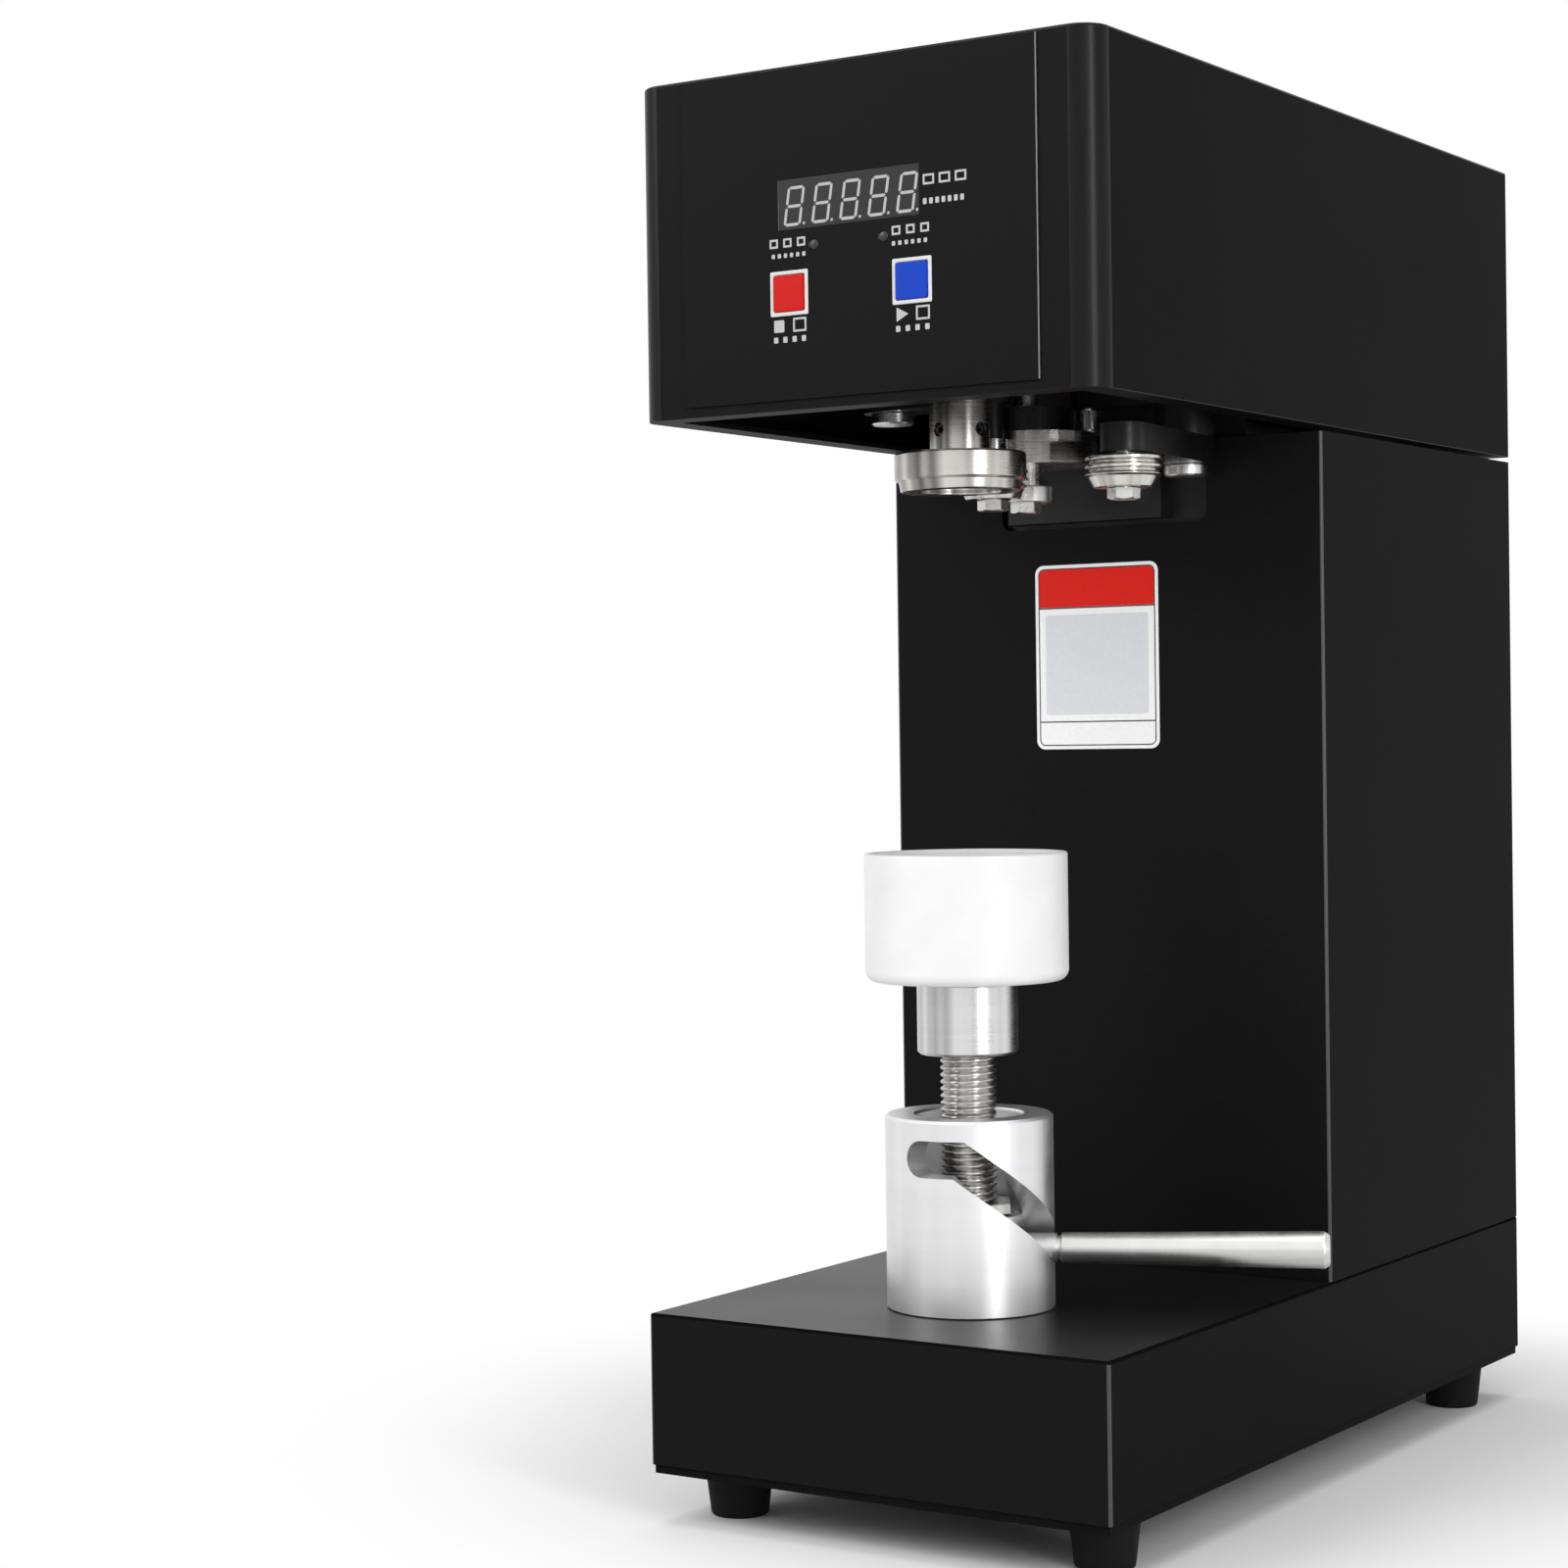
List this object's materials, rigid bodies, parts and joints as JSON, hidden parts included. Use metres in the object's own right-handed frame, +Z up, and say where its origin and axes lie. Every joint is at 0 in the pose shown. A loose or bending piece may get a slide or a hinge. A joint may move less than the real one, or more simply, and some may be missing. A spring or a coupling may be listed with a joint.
{
  "type": "desktop can sealing machine",
  "caption": "Desktop can seamer: a C-shaped steel body, a cam barrel and lever that lift the can in a cup to a turning chuck, and seaming rollers on cam-driven arms.",
  "frame": {"origin": "on the floor, under the middle of the body's width and depth", "axes": "+X to the machine's right seen from the front, +Y to the back, +Z up"},
  "size_m": [0.209, 0.3668, 0.509],
  "materials": {
    "black_powder_coat": "matt black fine powder coat",
    "structural_steel": "blackened steel",
    "dark_screws": "dark zinc-plated steel",
    "foot_rubber": "moulded black rubber",
    "satin_aluminium": "satin aluminium",
    "turned_steel": "turned steel",
    "polished_lever": "polished stainless steel",
    "white_nylon": "turned white nylon",
    "ground_steel": "ground tool steel",
    "arm_steel": "blackened steel",
    "bolt_steel": "zinc-plated bolts",
    "bearing_steel": "bearing steel",
    "bush_bronze": "plain bronze bush",
    "motor_housing": "dark enamel",
    "belt_rubber": "rubber belt",
    "supply_case": "folded aluminium",
    "board_laminate": "green board laminate",
    "display_block": "pale digit block",
    "dark_window": "dark tinted window",
    "red_cap": "gloss red",
    "blue_cap": "gloss blue",
    "pale_frame": "pale plastic",
    "lamp_lens": "smoked lamp lens",
    "entry_plastic": "black plastic"
  },
  "bodies": {
    "machine_frame": {"arm_pivots": "arm_steel", "arm_springs": "bolt_steel", "back_cover": "black_powder_coat", "base_screws": "dark_screws", "base_shell": "black_powder_coat", "bed_plate": "structural_steel", "bottom_plate": "black_powder_coat", "button_frames": "pale_frame", "cam_barrel": "satin_aluminium", "cam_gearmotor": "motor_housing", "cam_shaft_bush": "bush_bronze", "column_frame": "structural_steel", "column_shell": "black_powder_coat", "control_board": "board_laminate", "digit_display": "display_block", "display_window": "dark_window", "drive_belt": "belt_rubber", "drive_motor": "motor_housing", "front_panel": "black_powder_coat", "head_bracket": "structural_steel", "head_plate": "structural_steel", "head_plate_screws": "dark_screws", "hood": "black_powder_coat", "indicator_lamps": "lamp_lens", "panel_screws": "dark_screws", "power_inlet": "entry_plastic", "power_supply": "supply_case", "rubber_feet": "foot_rubber", "spindle_bearings": "bearing_steel", "spindle_housing": "satin_aluminium", "switch_housing": "entry_plastic"},
    "lift_screw": {"lift_screw": "turned_steel"},
    "lever": {"piston_sleeve": "turned_steel", "lift_lever": "polished_lever"},
    "cup_carrier": {"cup_bearing": "bearing_steel"},
    "height_collar": {"height_collar": "turned_steel"},
    "can_cup": {"can_cup": "white_nylon"},
    "spindle": {"spindle": "turned_steel", "seaming_chuck": "ground_steel", "chuck_screws": "dark_screws", "spindle_pulley": "satin_aluminium", "spindle_nut": "dark_screws"},
    "motor_rotor": {"motor_shaft": "turned_steel", "motor_pulley": "satin_aluminium"},
    "cam_unit": {"cam_shaft": "turned_steel", "first_cam": "ground_steel", "second_cam": "arm_steel", "cam_bolt": "bolt_steel"},
    "first_arm": {"first_arm": "arm_steel", "first_roller_bolt": "bolt_steel"},
    "second_arm": {"second_arm": "arm_steel", "second_arm_bolts": "bolt_steel"},
    "first_roller": {"first_roller": "ground_steel"},
    "second_roller": {"second_roller": "ground_steel"},
    "first_follower": {"first_follower": "bearing_steel"},
    "second_follower": {"second_follower": "bearing_steel"},
    "start_button": {"start_button": "blue_cap"},
    "stop_button": {"stop_button": "red_cap"},
    "power_rocker": {"power_rocker": "entry_plastic"}
  },
  "joints": [
    {"name": "lift_slide", "type": "slide", "parent": "machine_frame", "child": "lift_screw", "axis": [0, 0, 1], "range_m": [0, 0.0345]},
    {"name": "lever_swing", "type": "hinge", "parent": "lift_screw", "child": "lever", "pos_m": [0, -0.112, 0.096], "axis": [0, 0, 1], "range_deg": [-92.02, 0]},
    {"name": "height_adjust", "type": "slide", "parent": "lift_screw", "child": "cup_carrier", "axis": [0, 0, 1], "range_m": [-0.01, 0.005]},
    {"name": "collar_turn", "type": "hinge", "parent": "cup_carrier", "child": "height_collar", "pos_m": [0, -0.112, 0.176], "axis": [0, 0, 1], "range_deg": [-1440.2, 720.2]},
    {"name": "cup_spin", "type": "hinge", "parent": "cup_carrier", "child": "can_cup", "pos_m": [0, -0.112, 0.215], "axis": [0, 0, 1], "continuous": true},
    {"name": "chuck_spin", "type": "hinge", "parent": "machine_frame", "child": "spindle", "pos_m": [0, -0.112, 0.4], "axis": [0, 0, 1], "continuous": true},
    {"name": "motor_spin", "type": "hinge", "parent": "machine_frame", "child": "motor_rotor", "pos_m": [0, 0.095, 0.43], "axis": [0, 0, 1], "continuous": true},
    {"name": "cam_turn", "type": "hinge", "parent": "machine_frame", "child": "cam_unit", "pos_m": [-0.011, -0.045, 0.39], "axis": [0, 0, 1], "range_deg": [-125, 0]},
    {"name": "first_arm_swing", "type": "hinge", "parent": "machine_frame", "child": "first_arm", "pos_m": [-0.06, -0.06, 0.405], "axis": [0, 0, 1], "range_deg": [-10.31, 0]},
    {"name": "second_arm_swing", "type": "hinge", "parent": "machine_frame", "child": "second_arm", "pos_m": [0.044, -0.022, 0.39], "axis": [0, 0, 1], "range_deg": [-21.1, 0], "stiffness_Nm_per_rad": 0.4},
    {"name": "first_roller_spin", "type": "hinge", "parent": "first_arm", "child": "first_roller", "pos_m": [-0.0113, -0.0693, 0.371], "axis": [0, 0, 1], "continuous": true},
    {"name": "second_roller_spin", "type": "hinge", "parent": "second_arm", "child": "second_roller", "pos_m": [0.053, -0.0888, 0.371], "axis": [0, 0, 1], "continuous": true},
    {"name": "first_follower_spin", "type": "hinge", "parent": "first_arm", "child": "first_follower", "pos_m": [-0.0113, -0.0693, 0.384], "axis": [0, 0, 1], "continuous": true},
    {"name": "second_follower_spin", "type": "hinge", "parent": "second_arm", "child": "second_follower", "pos_m": [0.00451, -0.02464, 0.396], "axis": [0, 0, 1], "continuous": true},
    {"name": "start_button_press", "type": "slide", "parent": "machine_frame", "child": "start_button", "axis": [0, 1, 0], "range_m": [0, 0.001], "stiffness_N_per_m": 1200},
    {"name": "stop_button_press", "type": "slide", "parent": "machine_frame", "child": "stop_button", "axis": [0, 1, 0], "range_m": [0, 0.001], "stiffness_N_per_m": 1200},
    {"name": "rocker_tilt", "type": "hinge", "parent": "machine_frame", "child": "power_rocker", "pos_m": [0.03, 0.181, 0.047], "axis": [1, 0, 0], "range_deg": [-18, 0]}
  ],
  "couplings": [
    {"joint": "lever_swing", "follows": "lift_slide", "rad_per_m": -46.542},
    {"joint": "collar_turn", "follows": "height_adjust", "rad_per_m": 2513.3},
    {"joint": "motor_spin", "follows": "chuck_spin", "ratio": 1.4783},
    {"joint": "first_arm_swing", "follows": "cam_turn", "ratio": 0.082472}
  ]
}
